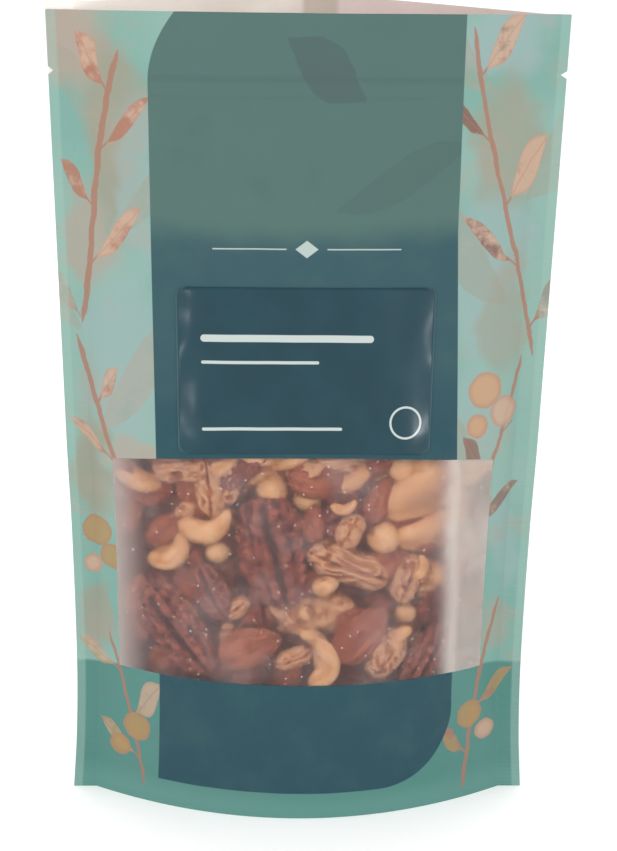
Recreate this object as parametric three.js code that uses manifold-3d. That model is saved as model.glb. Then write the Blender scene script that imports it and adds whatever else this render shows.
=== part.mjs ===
import * as THREE from 'three';
import { mergeVertices } from 'three/addons/utils/BufferGeometryUtils.js';
import Module from 'manifold-3d';

const wasm = await Module();
wasm.setup();

// An open stand-up pouch of mixed nuts, with a frosted window in its front.
// Millimetres, +Z up. The printed front faces -Y and the pouch stands on z = 0.
// A place on the film is given by its across value, from -80 at the left edge to 80 at the
// right one when the film lies flat, and by its height above the bottom edge.

// Driving dimensions
const filmWidth = 160;
const pouchHeight = 259;
const sealWidth = 8;
const sealEdge = filmWidth / 2 - sealWidth; // where the side seals begin
const filmThickness = 0.8;
const clearance = 0.3; // between pieces that touch or are sealed to each other
const gussetDepth = 40; // height of the gusset's fold at the side seals
const gussetReach = 67; // across value where the gusset's film ends
const windowHalfWidth = 64.5;
const windowBottom = 45.5;
const windowTop = 120.5;
const windowDroop = 2.5; // how far the window's top edge drops towards its corners
const labelHalfWidth = 42;
const labelBottom = 122.2;
const labelTop = 175.6;
const labelCorner = 3;
const labelThickness = 0.4;
const notchHeight = 240.5;
const notchDepth = 2;
const notchHalfOpening = 1.2;
const zipBottom = 233;
const zipTop = 241.7;
const zipStrip = 0.7;
const zipBead = 1.5;
const zipBeadHalf = 1.2; // half the bead's height
const backTopSkew = 1.2; // the back film stands this much proud of the front at the middle
const nutFill = 117; // height of the bare heap's top
const coreInset = 9; // depth of the loose kernels between the front film and the bare heap
const nutMargin = 0.9; // between the nuts and the film
const fusedVolume = 12; // least overlap that joins a kernel to the heap, in cubic millimetres

// Shape of the filled pouch: pairs of height and value
const halfWidthAt = [[0, 74.8], [20, 73.6], [45, 73.2], [90, 74.2], [126, 75.6], [197, 78], [259, 80]];
const frontBowAt = [
  [0, 24], [30, 25], [60, 24], [90, 19.5], [120, 14], [160, 12], [198, 11], [230, 6], [259, 2],
];
const backBowAt = [
  [0, 24], [30, 25], [60, 25], [90, 23], [126, 19], [165, 15], [200, 16], [235, 24], [261, 30],
];
const frontFlatnessAt = [[0, 2], [46, 2.3], [90, 3.2], [120, 5], [160, 4.5], [198, 3.4], [259, 2]];
const backFlatnessAt = [[0, 2], [60, 2.2], [126, 2.4], [197, 2], [235, 1.4], [261, 1.15]];

// Colours
const printGround = 0x9cbdb4;
const backGround = 0x8fb5ad;
const liningPink = 0xdfcdc8;
const frostedFilm = 0xb9a49b;
const labelGreen = 0x31535a;
const nutBrown = 0xa9754f;

// Value between the keys of a height profile, on a smooth curve through them
function alongHeight(keys, height) {
  const last = keys.length - 1;
  if (height <= keys[0][0]) return keys[0][1];
  if (height >= keys[last][0]) return keys[last][1];
  const k = keys.findIndex((key) => key[0] > height) - 1;
  const slope = (i) => {
    const [a, b] = [keys[Math.max(i - 1, 0)], keys[Math.min(i + 1, last)]];
    return (b[1] - a[1]) / (b[0] - a[0]);
  };
  const [[z0, v0], [z1, v1]] = [keys[k], keys[k + 1]];
  const span = z1 - z0;
  const s = (height - z0) / span;
  const rise = (3 - 2 * s) * s * s;
  return v0 * (1 - rise) + v1 * rise + span * s * (1 - s) * (slope(k) * (1 - s) - slope(k + 1) * s);
}

// How far the film bows out at a place, 1 being the middle of its width and 0 the side seals
function bowShape(across, flatness) {
  return 1 - Math.min(1, Math.abs(across) / sealEdge) ** flatness;
}

function frontDepth(across, height) {
  return alongHeight(frontBowAt, height) * bowShape(across, alongHeight(frontFlatnessAt, height));
}

function backDepth(across, height) {
  return alongHeight(backBowAt, height) * bowShape(across, alongHeight(backFlatnessAt, height));
}

function acrossOf(x, height) {
  return (x * filmWidth) / 2 / alongHeight(halfWidthAt, height);
}

// X of a place on the film, with the tear notches cut into its two edges
function filmX(across, height) {
  const atEdge = Math.abs(across) >= filmWidth / 2;
  const notch = atEdge ? notchDepth * Math.max(0, 1 - Math.abs(height - notchHeight) / notchHalfOpening) : 0;
  return (across / (filmWidth / 2)) * alongHeight(halfWidthAt, height) - Math.sign(across) * notch;
}

// A place on the front film, lifted outwards from its inner face
function frontPoint(across, height, lift) {
  const fade = Math.exp(-(((height - windowTop) / 18) ** 2));
  const droop = windowDroop * (Math.min(1, Math.abs(across) / windowHalfWidth)) ** 4 * fade;
  const z = height - droop;
  return new THREE.Vector3(filmX(across, height), -frontDepth(across, z) - clearance / 2 - lift, z);
}

// A place on the back film, lifted outwards from its inner face
function backPoint(across, height, lift) {
  const stretch = 1 + (backTopSkew * (1 - across / (filmWidth / 2))) / pouchHeight;
  const z = height > notchHeight + notchHalfOpening ? height * stretch : height;
  return new THREE.Vector3(filmX(across, height), backDepth(across, z) + clearance / 2 + lift, z);
}

// A closed wall over a grid of cells: one face on each side, joined round the edges.
// With columns running left to right and rows upwards, the outside faces -Y.
function wallOverGrid(columns, rows, outside, inside, isSolid = () => true) {
  const positions = [];
  const triangles = [];
  const numbers = new Map();
  const corner = (i, j, side) => {
    const key = `${i},${j},${side}`;
    if (!numbers.has(key)) {
      const point = (side === 'out' ? outside : inside)(columns[i], rows[j]);
      numbers.set(key, positions.length / 3);
      positions.push(point.x, point.y, point.z);
    }
    return numbers.get(key);
  };
  const solidCell = (i, j) =>
    i >= 0 && j >= 0 && i < columns.length - 1 && j < rows.length - 1 && isSolid(i, j);
  for (let i = 0; i < columns.length - 1; i++) {
    for (let j = 0; j < rows.length - 1; j++) {
      if (!solidCell(i, j)) continue;
      const ring = [[i, j], [i + 1, j], [i + 1, j + 1], [i, j + 1]];
      const beyond = [[i, j - 1], [i + 1, j], [i, j + 1], [i - 1, j]];
      const out = ring.map(([a, b]) => corner(a, b, 'out'));
      const inn = ring.map(([a, b]) => corner(a, b, 'in'));
      triangles.push(out[0], out[1], out[2], out[0], out[2], out[3]);
      triangles.push(inn[0], inn[2], inn[1], inn[0], inn[3], inn[2]);
      beyond.forEach(([a, b], edge) => {
        if (solidCell(a, b)) return;
        const next = (edge + 1) % 4;
        triangles.push(out[next], out[edge], inn[edge], out[next], inn[edge], inn[next]);
      });
    }
  }
  const geometry = new THREE.BufferGeometry();
  geometry.setAttribute('position', new THREE.Float32BufferAttribute(positions, 3));
  geometry.setIndex(triangles);
  return geometry;
}

function evenSteps(from, to, count) {
  return Array.from({ length: count + 1 }, (_, k) => from + ((to - from) * k) / count);
}

const pouch = new THREE.Group();

function addPiece(name, geometry, color, roughness, extras = {}) {
  geometry.computeVertexNormals();
  const material = new THREE.MeshStandardMaterial({ color, roughness, metalness: 0, ...extras });
  const mesh = new THREE.Mesh(geometry, material);
  mesh.name = name;
  pouch.add(mesh);
}

// Columns and rows of the film panels, with the seals' inner edges and the window's edges among them
const sideColumns = [(windowHalfWidth + sealEdge) / 2, sealEdge, filmWidth / 2];
const middleColumns = evenSteps(-windowHalfWidth, windowHalfWidth, 12);
const filmColumns = [...sideColumns.map((a) => -a).reverse(), ...middleColumns, ...sideColumns];
const notchRows = [notchHeight - notchHalfOpening, notchHeight, notchHeight + notchHalfOpening];
const lowerRows = evenSteps(0, windowBottom, 4);
const windowRows = evenSteps(windowBottom, windowTop, 7);
const upperRows = evenSteps(windowTop, zipBottom, 7);
const mouthRows = [...notchRows, (notchRows[2] + pouchHeight) / 2, pouchHeight];
const filmRows = [...lowerRows, ...windowRows.slice(1), ...upperRows.slice(1), ...mouthRows];

function frontPanel() {
  const firstColumn = filmColumns.indexOf(-windowHalfWidth);
  const lastColumn = filmColumns.indexOf(windowHalfWidth);
  const firstRow = filmRows.indexOf(windowBottom);
  const lastRow = filmRows.indexOf(windowTop);
  return wallOverGrid(
    filmColumns,
    filmRows,
    (across, height) => frontPoint(across, height, filmThickness),
    (across, height) => frontPoint(across, height, 0),
    (i, j) => i < firstColumn || i >= lastColumn || j < firstRow || j >= lastRow,
  );
}

function backPanel() {
  return wallOverGrid(
    [...filmColumns].reverse(),
    [...evenSteps(0, zipBottom, 11), ...mouthRows],
    (across, height) => backPoint(across, height, filmThickness),
    (across, height) => backPoint(across, height, 0),
  );
}

function frostedWindow() {
  return wallOverGrid(
    evenSteps(-windowHalfWidth + clearance, windowHalfWidth - clearance, 12),
    evenSteps(windowBottom + clearance, windowTop - clearance, 7),
    (across, height) => frontPoint(across, height, filmThickness),
    (across, height) => frontPoint(across, height, 0),
  );
}

// The sticker: its rows draw in near the top and bottom, which rounds its corners
function stickerLabel() {
  const insets = [0, 0.3, 1].map((share) => share * labelCorner);
  const lower = insets.map((inset) => labelBottom + inset);
  const upper = insets.map((inset) => labelTop - inset).reverse();
  const middle = evenSteps(labelBottom + labelCorner, labelTop - labelCorner, 3).slice(1, -1);
  const place = (across, height, lift) => {
    const inward = Math.max(0, labelCorner - Math.min(height - labelBottom, labelTop - height));
    const halfWidth = labelHalfWidth - labelCorner + Math.sqrt(labelCorner ** 2 - inward ** 2);
    return frontPoint((across * halfWidth) / labelHalfWidth, height, lift);
  };
  const under = filmThickness + clearance;
  return wallOverGrid(
    evenSteps(-labelHalfWidth, labelHalfWidth, 8),
    [...lower, ...middle, ...upper],
    (across, height) => place(across, height, under + labelThickness),
    (across, height) => place(across, height, under),
  );
}

// One half of the press-to-close zip: a strip on the film's inner face with a bead along it
function zipHalf(columns, placeOnFilm) {
  const middle = (zipBottom + zipTop) / 2;
  const rows = [zipBottom, middle - zipBeadHalf, middle, middle + zipBeadHalf, zipTop];
  return wallOverGrid(
    columns,
    rows,
    (across, height) => placeOnFilm(across, height, -clearance),
    (across, height) => placeOnFilm(across, height, -clearance - (height === middle ? zipBead : zipStrip)),
  );
}

// Height of the gusset's sheet: flat on the ground in the middle, a raised fold at both sides
function gussetFold(across) {
  const share = Math.abs(across) / sealEdge;
  return (gussetDepth - 1) * Math.max(0, (share - 0.25) / 0.75) ** 1.8;
}

function gussetPoint(across, crossing, lift) {
  const share = Math.abs(across) / sealEdge;
  const sealedTo = 0.8 * gussetFold(across) * share;
  const z = sealedTo + (gussetFold(across) - sealedTo) * Math.sin(Math.PI * crossing) + lift;
  const inset = 2 * clearance;
  const y0 = -frontDepth(across, z) + inset;
  const y1 = backDepth(across, z) - inset;
  return new THREE.Vector3(filmX(across, z), y0 + (y1 - y0) * crossing, z);
}

function bottomGusset() {
  const columns = [6, 17, 32, 44, 54, 62, gussetReach];
  return wallOverGrid(
    [...columns.map((a) => -a).reverse(), ...columns],
    [0, 0.12, 0.32, 0.68, 0.88, 1],
    (across, crossing) => gussetPoint(across, crossing, filmThickness),
    (across, crossing) => gussetPoint(across, crossing, 0),
  );
}

// Nut kernels. A kernel lies along X with its width along Y and its best side towards +Z.
const kernelKinds = {
  almond: {
    length: 21, width: 12.5, thick: 8, rings: 5, sides: 7, bend: 0,
    taper: (t) => Math.sin(Math.PI * t ** 0.85) ** 0.75,
    relief: () => 1,
  },
  cashew: {
    length: 27, width: 10.5, thick: 9.5, rings: 6, sides: 6, bend: 2.5,
    taper: (t) => Math.sin(Math.PI * t) ** 0.5 * (1.05 - 0.3 * t),
    relief: () => 1,
  },
  walnut: {
    length: 25, width: 19, thick: 12, rings: 6, sides: 8, bend: 0.3,
    taper: (t) => Math.sin(Math.PI * t) ** 0.55,
    relief: (t, angle) => 1 + 0.14 * Math.sin(4 * angle + 7 * t) * Math.sin(9 * t),
  },
  pecan: {
    length: 34, width: 17, thick: 8.5, rings: 6, sides: 12, bend: 0.12,
    taper: (t) => Math.sin(Math.PI * t) ** 0.6,
    relief: (t, angle) =>
      1 - 0.28 * Math.exp(-(((angle - Math.PI / 2) / 0.2) ** 2)) - 0.08 * Math.cos(6 * angle),
  },
  brazil: {
    length: 31, width: 16, thick: 14, rings: 5, sides: 6, bend: 0.45,
    taper: (t) => Math.sin(Math.PI * t) ** 0.6,
    relief: (t, angle) => 1 - 0.13 * Math.cos(3 * angle),
  },
  round: {
    length: 11, width: 11, thick: 10, rings: 4, sides: 5, bend: 0,
    taper: (t) => Math.sin(Math.PI * t),
    relief: () => 1,
  },
};

function kernelGeometry(kind, scale, widthShare) {
  const { length, thick, rings, sides, bend, taper, relief } = kernelKinds[kind];
  const width = kernelKinds[kind].width * widthShare;
  const bent = (x, y) => {
    if (bend === 0) return [x, y];
    const radius = length / bend;
    const turn = (x / length) * bend;
    const sag = radius * (1 - Math.cos(bend / 2)) * 0.5;
    return [(radius - y) * Math.sin(turn), radius - (radius - y) * Math.cos(turn) - sag];
  };
  const positions = [...bent(-length / 2, 0), 0, ...bent(length / 2, 0), 0];
  for (let ring = 1; ring < rings; ring++) {
    const t = ring / rings;
    for (let side = 0; side < sides; side++) {
      const angle = (side / sides) * 2 * Math.PI;
      const size = taper(t) * relief(t, angle);
      const [x, y] = bent((t - 0.5) * length, (Math.cos(angle) * width * size) / 2);
      positions.push(x, y, (Math.sin(angle) * thick * size) / 2);
    }
  }
  const at = (ring, side) => 2 + (ring - 1) * sides + (side % sides);
  const triangles = [];
  for (let side = 0; side < sides; side++) {
    triangles.push(0, at(1, side + 1), at(1, side));
    triangles.push(1, at(rings - 1, side), at(rings - 1, side + 1));
    for (let ring = 1; ring < rings - 1; ring++) {
      triangles.push(at(ring, side), at(ring, side + 1), at(ring + 1, side + 1));
      triangles.push(at(ring, side), at(ring + 1, side + 1), at(ring + 1, side));
    }
  }
  const geometry = new THREE.BufferGeometry();
  const scaled = positions.map((v) => v * scale);
  geometry.setAttribute('position', new THREE.Float32BufferAttribute(scaled, 3));
  geometry.setIndex(triangles);
  return geometry;
}

// Kernels that show best behind the window: kind, across, height, turn in degrees, scale, depth
// behind the film, width against its usual one
const windowKernels = [
  ['pecan', -9.5, 88, -76, 1.12, 0, 1.05], ['pecan', -42, 60.5, -50, 1.05, 0, 0.95],
  ['almond', -18, 58, 20, 1.05, 0, 1], ['cashew', 6.5, 53, 82, 0.72, 0, 1.05],
  ['almond', 21, 62.5, 48, 1.14, 0.3, 1], ['almond', 5.2, 112.2, -8, 0.95, 0.6, 1.05],
  ['walnut', -32, 110, 96, 0.85, 0.5, 0.6], ['walnut', -24.5, 111, 80, 0.55, 1.5, 0.6],
  ['brazil', 40.5, 109.5, 36, 0.98, 1, 1], ['brazil', 45, 95, 12, 0.85, 3, 1],
  ['walnut', 15.5, 84.5, -20, 1.12, 0.2, 0.55], ['cashew', -33, 98, 14, 0.72, 2, 1.1],
  ['cashew', -46, 87.5, 40, 0.66, 3, 1.1], ['walnut', 36, 79.5, 72, 0.66, 1.5, 0.7],
  ['walnut', 29.5, 55, 60, 0.72, 0.6, 0.85], ['round', -16.7, 114, 0, 1, 5, 1],
  ['pecan', 45, 52.5, 58, 0.74, 0.6, 1],
  ['round', -10.5, 107.5, 30, 0.9, 3, 1], ['round', 33.7, 115.5, 60, 0.85, 2, 1],
  ['round', 28, 93, 80, 0.95, 2.6, 1], ['almond', 26, 105.5, 68, 0.78, 2.4, 0.85],
  ['pecan', -31, 75, -60, 0.6, 2.5, 1], ['round', 8, 78.7, 20, 0.82, 0.4, 0.7],
  ['round', 1.6, 69.6, 10, 0.5, 2.4, 1], ['almond', 3.8, 98, 85, 0.62, 3.5, 1],
  ['almond', -54, 106, 10, 1, 4, 1], ['almond', -60, 97, 40, 0.7, 1.5, 1],
  ['almond', 59, 85, 70, 0.85, 2, 1], ['almond', -58, 70, 75, 0.8, 3, 1],
  ['walnut', 16, 96, 60, 0.48, 2, 0.9], ['round', 47.4, 79, 0, 0.66, 3, 1],
  ['walnut', -3, 54, 20, 0.5, 3.5, 0.7],
];

// Slides a placed kernel front to back until it lies between the two films, at a depth behind
// the front one or, with no depth given, as near as it can to where it is. Returns false where
// there is no room for it.
function fitBetweenFilms(geometry, behind) {
  const position = geometry.attributes.position;
  let least = -Infinity;
  let most = Infinity;
  for (let k = 0; k < position.count; k++) {
    const [x, y, z] = [position.getX(k), position.getY(k), position.getZ(k)];
    const across = acrossOf(x, z);
    if (Math.abs(across) > sealEdge - 2) return false;
    if (z < gussetFold(across) + filmThickness + nutMargin) return false;
    least = Math.max(least, nutMargin - frontDepth(across, z) - y);
    most = Math.min(most, backDepth(across, z) - nutMargin - y);
  }
  if (least > most) return false;
  const wanted = behind === null ? 0 : least + behind;
  geometry.translate(0, THREE.MathUtils.clamp(wanted, least, most), 0);
  return true;
}

function toSolid(geometry) {
  const bare = geometry.clone();
  bare.deleteAttribute('normal');
  bare.deleteAttribute('uv');
  const merged = mergeVertices(bare, 1e-4);
  const vertProperties = new Float32Array(merged.attributes.position.array);
  const triVerts = new Uint32Array(merged.index.array);
  return new wasm.Manifold(new wasm.Mesh({ numProp: 3, vertProperties, triVerts }));
}

function toGeometry(solid) {
  const mesh = solid.getMesh();
  const geometry = new THREE.BufferGeometry();
  geometry.setAttribute('position', new THREE.BufferAttribute(new Float32Array(mesh.vertProperties), 3));
  geometry.setIndex(new THREE.BufferAttribute(new Uint32Array(mesh.triVerts), 1));
  return geometry;
}

// Even draws between 0 and 1 that are the same on every run
function seededDraws(seed) {
  let state = seed;
  return () => {
    state = (state * 16807) % 2147483647;
    return state / 2147483647;
  };
}

// The body of the heap, which the kernels that show are fused on
function heapCore() {
  const coreBottom = (across) => gussetFold(across) + filmThickness + nutMargin + clearance * 2;
  const coreFront = (across, height) => {
    const depth = frontDepth(across, height);
    return Math.max(depth - coreInset, 0.15 * depth);
  };
  const place = (across, share, depthOf, keep) => {
    const bottom = coreBottom(across);
    const z = bottom + (nutFill - 3 * Math.abs(across) / windowHalfWidth - bottom) * share;
    return new THREE.Vector3(filmX(across, z), depthOf(across, z) * keep, z);
  };
  return wallOverGrid(
    [-63, -50, -25, 0, 25, 50, 63],
    [0, 0.15, 0.4, 0.7, 1],
    (across, share) => place(across, share, coreFront, -1),
    (across, share) => place(across, share, backDepth, 0.93),
  );
}

function nutMix() {
  const draw = seededDraws(4177);
  const kindNames = Object.keys(kernelKinds);
  let heap = toSolid(heapCore());
  // Sinks a kernel into the heap until the two are fused, and leaves out one that finds no room
  const addKernel = (kind, scale, placement, behind, sinking, widthShare = 1) => {
    const geometry = kernelGeometry(kind, scale, widthShare).applyMatrix4(placement);
    let fits = fitBetweenFilms(geometry, behind);
    for (let step = 0; fits && step < 6; step++) {
      const kernel = toSolid(geometry);
      if (kernel.intersect(heap).volume() > fusedVolume) {
        heap = heap.add(kernel);
        return;
      }
      geometry.translate(...sinking);
      fits = fitBetweenFilms(geometry, null);
    }
  };
  // Lays a kernel's best side along the front film, leant from it by a few degrees
  const facingWindow = (across, height, turn, leanX, leanZ) => {
    const rise = frontDepth(across, height + 1) - frontDepth(across, height - 1);
    const swing = frontDepth(across + 1, height) - frontDepth(across - 1, height);
    const along = new THREE.Euler(leanX + Math.atan(rise / 2), 0, leanZ - Math.atan(swing / 2));
    const placement = new THREE.Matrix4().makeRotationFromEuler(along);
    placement.multiply(new THREE.Matrix4().makeRotationX(Math.PI / 2));
    placement.multiply(new THREE.Matrix4().makeRotationZ(turn));
    return placement.setPosition(filmX(across, height), 0, height);
  };
  for (const height of evenSteps(52, 115, 4)) {
    for (const across of evenSteps(-56, 56, 6)) {
      const kind = kindNames[Math.floor(draw() * kindNames.length)];
      const [a, h] = [across + 8 * (draw() - 0.5), height + 8 * (draw() - 0.5)];
      const placement = facingWindow(a, h, draw() * Math.PI, draw() - 0.5, draw() - 0.5);
      addKernel(kind, 0.65 + 0.2 * draw(), placement, 4 + 3 * draw(), [0, 1, 0]);
    }
  }
  windowKernels.forEach(([kind, across, height, turn, scale, behind, widthShare]) => {
    const placement = facingWindow(across, height, THREE.MathUtils.degToRad(turn), 0, 0);
    addKernel(kind, scale, placement, behind, [0, 1, 0], widthShare);
  });
  // The heap's top, seen through the mouth
  for (const [row, y] of [-4, 5, 12].entries()) {
    for (const x of evenSteps(-54 + 7 * row, 54 - 7 * row, 8 - row)) {
      const kind = kindNames[Math.floor(draw() * kindNames.length)];
      const turn = (draw() - 0.5) * 1.4;
      const placement = new THREE.Matrix4().makeRotationFromEuler(
        new THREE.Euler((draw() - 0.5) * 0.8, (draw() - 0.5) * 0.6, turn),
      );
      placement.setPosition(x + 4 * (draw() - 0.5), y, nutFill + 1 + row + 3 * draw());
      addKernel(kind, 0.62 + 0.25 * draw(), placement, null, [0, 0, -1]);
    }
  }
  return toGeometry(heap);
}

addPiece('front_panel', frontPanel(), printGround, 0.6);
addPiece('back_panel', backPanel(), backGround, 0.6);
addPiece('bottom_gusset', bottomGusset(), printGround, 0.6);
addPiece('window', frostedWindow(), frostedFilm, 0.5, { transparent: true, opacity: 0.45 });
addPiece('label', stickerLabel(), labelGreen, 0.25);
addPiece('zipper_front', zipHalf(middleColumns, frontPoint), liningPink, 0.4);
addPiece('zipper_back', zipHalf([...middleColumns].reverse(), backPoint), liningPink, 0.4);
addPiece('nut_mix', nutMix(), nutBrown, 0.7);

export default pouch;
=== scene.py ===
import math
import random

import bpy
import numpy as np
from mathutils import Euler, Matrix, Vector, noise


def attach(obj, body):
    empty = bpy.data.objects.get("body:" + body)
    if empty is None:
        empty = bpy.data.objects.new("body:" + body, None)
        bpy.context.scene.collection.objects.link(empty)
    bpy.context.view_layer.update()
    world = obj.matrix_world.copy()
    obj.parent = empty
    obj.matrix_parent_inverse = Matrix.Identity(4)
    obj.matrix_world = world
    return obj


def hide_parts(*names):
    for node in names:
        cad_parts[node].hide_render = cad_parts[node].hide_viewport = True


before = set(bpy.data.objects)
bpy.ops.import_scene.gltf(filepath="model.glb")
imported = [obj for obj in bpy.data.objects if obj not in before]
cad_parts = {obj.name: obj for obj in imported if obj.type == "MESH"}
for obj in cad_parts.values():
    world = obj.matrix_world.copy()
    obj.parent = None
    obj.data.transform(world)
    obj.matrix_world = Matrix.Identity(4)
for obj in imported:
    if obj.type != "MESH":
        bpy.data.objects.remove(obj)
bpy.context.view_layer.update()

# An open stand-up pouch of mixed nuts. Places on the film are given in millimetres: across,
# from -80 at the left edge to 80 at the right one, and height above the bottom edge.
mm = 0.001
scene = bpy.context.scene
scene.view_settings.view_transform = "Standard"


photoView = {
    "pitch": 18.0,          # degrees, looking down
    "roll": 0.908,
    "yaw": 2.077,
    "distance": 800.0,
    "focalPixels": 2500.0,
    "frameHeight": 851,
    "target": (1.742, 0, 126.93),
}


def placeCamera(v):
    pitch, roll, yaw = (math.radians(v[k]) for k in ("pitch", "roll", "yaw"))
    ahead = Vector((math.sin(yaw) * math.cos(pitch), math.cos(yaw) * math.cos(pitch), -math.sin(pitch)))
    level = Vector((math.cos(yaw), -math.sin(yaw), 0))
    above = level.cross(ahead)
    right = level * math.cos(roll) + above * math.sin(roll)
    up = above * math.cos(roll) - level * math.sin(roll)
    place = (Vector(v["target"]) - ahead * v["distance"]) * mm
    data = bpy.data.cameras.new("photoCamera")
    data.sensor_width = 36
    data.lens = v["focalPixels"] * data.sensor_width / v["frameHeight"]
    data.clip_start = 0.05
    camera = bpy.data.objects.new("photoCamera", data)
    scene.collection.objects.link(camera)
    turn = Matrix((right, up, -ahead)).transposed().to_4x4()
    camera.matrix_world = Matrix.Translation(place) @ turn
    scene.camera = camera


glossyPieces = bpy.data.collections.new("glossyPieces")  # what the two glint lamps shine on
# Places and sizes in metres, power in watts
lamps = {
    "keyLamp": {"place": (-0.55, -1.05, 1.15), "aim": (0, 0, 0.12), "size": (0.8, 0.6), "power": 5.0,
                "colour": (1.0, 0.985, 0.96)},
    "fillLamp": {"place": (1.0, -0.9, 0.6), "aim": (0, 0, 0.12), "size": (0.9, 0.9), "power": 1.0,
                 "colour": (0.97, 0.985, 1.0)},
    "topLamp": {"place": (0.0, 0.35, 1.4), "aim": (0, 0, 0.1), "size": (1.2, 1.0), "power": 3.0,
                "colour": (1.0, 1.0, 1.0)},
    "rightGlint": {"place": (0.232, -0.627, 0.012), "aim": (0.038, -0.013, 0.126), "size": (0.025, 0.02),
                   "power": 0.2, "colour": (0.95, 0.97, 1.0), "receivers": glossyPieces},
    "leftGlint": {"place": (-0.186, -0.634, 0.012), "aim": (-0.038, -0.013, 0.127), "size": (0.02, 0.02),
                  "power": 0.07, "colour": (0.95, 0.97, 1.0), "receivers": glossyPieces},
}
roomLight = 0.95


def placeLamp(name, place, aim, size, power, colour, receivers=None):
    data = bpy.data.lights.new(name, "AREA")
    data.shape = "RECTANGLE"
    data.size, data.size_y = size
    data.energy = power
    data.color = colour
    lamp = bpy.data.objects.new(name, data)
    scene.collection.objects.link(lamp)
    lamp.location = place
    lamp.rotation_euler = (Vector(aim) - Vector(place)).to_track_quat("-Z", "Y").to_euler()
    if receivers:
        lamp.light_linking.receiver_collection = receivers
        lamp.visible_camera = lamp.visible_diffuse = lamp.visible_transmission = False


placeCamera(photoView)
for lampName, lampSettings in lamps.items():
    placeLamp(lampName, **lampSettings)
world = bpy.data.worlds.new("paleRoom")
world.use_nodes = True
world.node_tree.nodes["Background"].inputs["Color"].default_value = (1.0, 1.0, 1.0, 1)
world.node_tree.nodes["Background"].inputs["Strength"].default_value = roomLight
scene.world = world
print("camera and light placed")


def paint(red, green, blue):  # a screen colour as the shader's linear one
    def linear(c):
        c /= 255
        return c / 12.92 if c <= 0.04045 else ((c + 0.055) / 1.055) ** 2.4
    return (linear(red), linear(green), linear(blue), 1)


class Wire:  # one output of a node, that sums and products can be written with
    def __init__(self, finish, socket):
        self.finish, self.socket = finish, socket

    def maths(self, operation, *others):
        return self.finish.node("Math", {"operation": operation}, self, *others)

    def __add__(self, other):
        return self.maths("ADD", other)

    __radd__ = __add__

    def __sub__(self, other):
        return self.maths("SUBTRACT", other)

    def __rsub__(self, other):
        return self.finish.node("Math", {"operation": "SUBTRACT"}, other, self)

    def __mul__(self, other):
        return self.maths("MULTIPLY", other)

    __rmul__ = __mul__

    def __truediv__(self, other):
        return self.maths("DIVIDE", other)

    def __pow__(self, other):
        return self.maths("POWER", other)

    def __abs__(self):
        return self.maths("ABSOLUTE")


class Finish:  # a material, its nodes and the shader that they feed
    def __init__(self, name, **sockets):
        self.material = bpy.data.materials.new(name)
        self.material.use_nodes = True
        self.tree = self.material.node_tree
        self.shader = self.tree.nodes["Principled BSDF"]
        self.output = self.tree.nodes["Material Output"]
        self.set(self.shader, sockets)

    def join(self, socket, value):
        if isinstance(value, Wire):
            self.tree.links.new(value.socket, socket)
        elif value is not None:
            socket.default_value = value

    def set(self, node, sockets):
        for key, value in sockets.items():
            self.join(node.inputs[key.replace("_", " ")], value)

    def node(self, kind, settings=None, *values, out=0, **sockets):
        made = self.tree.nodes.new("ShaderNode" + kind)
        for key, value in (settings or {}).items():
            setattr(made, key, value)
        for socket, value in zip(made.inputs, values):
            self.join(socket, value)
        self.set(made, sockets)
        return Wire(self, made.outputs[out])

    def blend(self, share, under, over):
        made = self.tree.nodes.new("ShaderNodeMix")
        made.data_type = "RGBA"
        for place, value in ((0, share), (6, under), (7, over)):
            self.join(made.inputs[place], value)
        return Wire(self, made.outputs[2])

    def step(self, value, low, high):
        return self.node("MapRange", {"interpolation_type": "SMOOTHSTEP"}, value, low, high)

    def edge(self, value, place, soft):
        return self.step(value, place - soft, place + soft)

    def inside(self, value, low, high, soft):
        return self.edge(value, low, soft) * (1 - self.edge(value, high, soft))

    def noise(self, where, scale, detail, roughness):
        return self.node("TexNoise", None, where, None, scale, detail, roughness)

    def part(self, vector, index):
        return self.node("SeparateXYZ", None, vector, out=index)

    def most(self, first, second):
        return self.node("Math", {"operation": "MAXIMUM"}, first, second)

    def wave(self, angle):
        return self.node("Math", {"operation": "SINE"}, angle)

    def distance(self, x, y):
        return self.node("Math", {"operation": "SQRT"}, x * x + y * y)

    def bump(self, height, distance):
        return self.node("Bump", None, Height=height, Distance=distance)

    def objectPlace(self):
        return self.node("TexCoord", None, out=3)

    # Reads the piece's own UV map as places in millimetres: across from its middle, and height
    def layFlat(self, width, height):
        uv = self.node("UVMap", {"uv_map": "UVMap"})
        self.across = (self.part(uv, 0) - 0.5) * width
        self.height = self.part(uv, 1) * height
        self.flat = self.node("CombineXYZ", None, self.across, self.height, 0.0)


filmSpan = {"width": 160.0, "height": 259.0}

printColours = {
    "mint": (134, 168, 158), "aqua": (118, 160, 150), "sage": (146, 146, 130), "taupe": (164, 149, 136),
    "mist": (142, 166, 163), "blush": (172, 150, 138), "edgeMint": (150, 182, 172),
    "litPanelTop": (77, 106, 101), "panelMiddle": (49, 82, 90), "panelLow": (36, 73, 84),
    "moss": (84, 120, 102), "teal": (66, 122, 115), "lowMint": (98, 146, 138),
    "terracotta": (164, 108, 88), "peach": (190, 156, 134), "ochre": (164, 132, 84),
    "orange": (190, 146, 110), "rust": (124, 82, 72), "stem": (158, 112, 94), "shade": (66, 76, 82),
    "rule": (196, 208, 202),
}
printColours = {name: paint(*rgb) for name, rgb in printColours.items()}

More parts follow.
